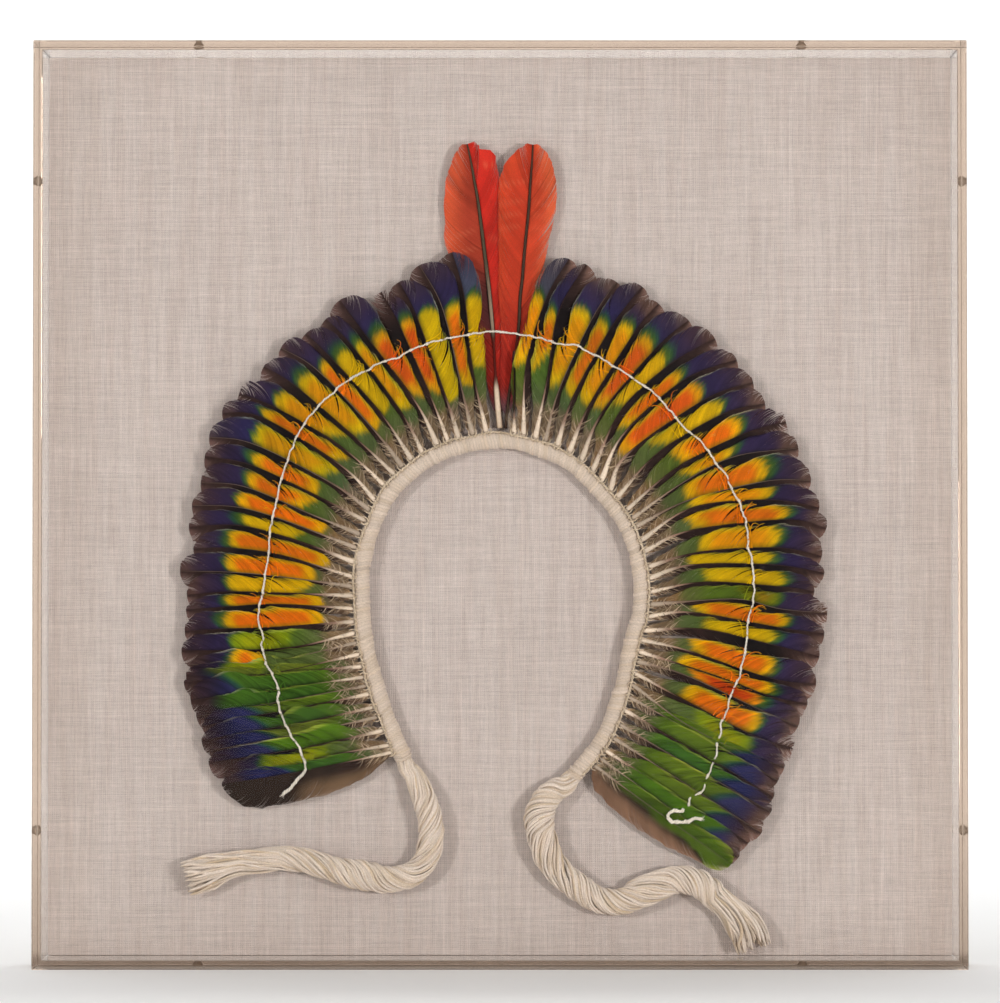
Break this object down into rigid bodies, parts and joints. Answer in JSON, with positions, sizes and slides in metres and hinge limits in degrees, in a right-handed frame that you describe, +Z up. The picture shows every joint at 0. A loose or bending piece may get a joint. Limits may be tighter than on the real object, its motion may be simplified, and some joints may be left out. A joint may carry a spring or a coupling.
{
  "type": "feathered headdress in a display box",
  "caption": "Feather crown laid open as a horseshoe with a tie cord at each end, on a cloth-covered board in a flat clear box that stands on its lower edge.",
  "frame": {"origin": "middle of the display box's footprint, on the surface it stands on", "axes": "+Z up, the headdress faces -Y, +X to the right as seen from the front"},
  "size_m": [0.6096, 0.064, 0.606],
  "materials": {
    "clear_acrylic": "polished clear acrylic",
    "linen": "plain-woven natural linen",
    "screw_steel": "plain steel",
    "wound_cotton": "cream cotton wound tightly over a core",
    "lashing_twine": "beige twisted twine",
    "parrot_feathers": "satin feather, green to yellow and orange to blue, with brown-black tips",
    "macaw_feathers": "satin feather, red with a dark shaft",
    "cotton_thread": "white two-ply cotton",
    "cotton_cord": "cream cotton yarns, loosely twisted"
  },
  "bodies": {
    "root": {"display_cover": "clear_acrylic", "backing_board": "linen", "cover_screw_1": "screw_steel", "cover_screw_2": "screw_steel", "cover_screw_3": "screw_steel", "cover_screw_4": "screw_steel", "cover_screw_5": "screw_steel", "cover_screw_6": "screw_steel", "cover_screw_7": "screw_steel", "cover_screw_8": "screw_steel", "crown_band": "wound_cotton", "quill_lashing": "lashing_twine", "feathers_left_1": "parrot_feathers", "feathers_left_2": "parrot_feathers", "feathers_left_3": "parrot_feathers", "feathers_left_4": "parrot_feathers", "feathers_left_5": "parrot_feathers", "feathers_left_6": "parrot_feathers", "feathers_right_1": "parrot_feathers", "feathers_right_2": "parrot_feathers", "feathers_right_3": "parrot_feathers", "feathers_right_4": "parrot_feathers", "feathers_right_5": "parrot_feathers", "feathers_right_6": "parrot_feathers", "red_feather_left": "macaw_feathers", "red_feather_right": "macaw_feathers", "feather_thread": "cotton_thread", "tie_cord_left": "cotton_cord", "tie_cord_right": "cotton_cord"}
  },
  "joints": []
}
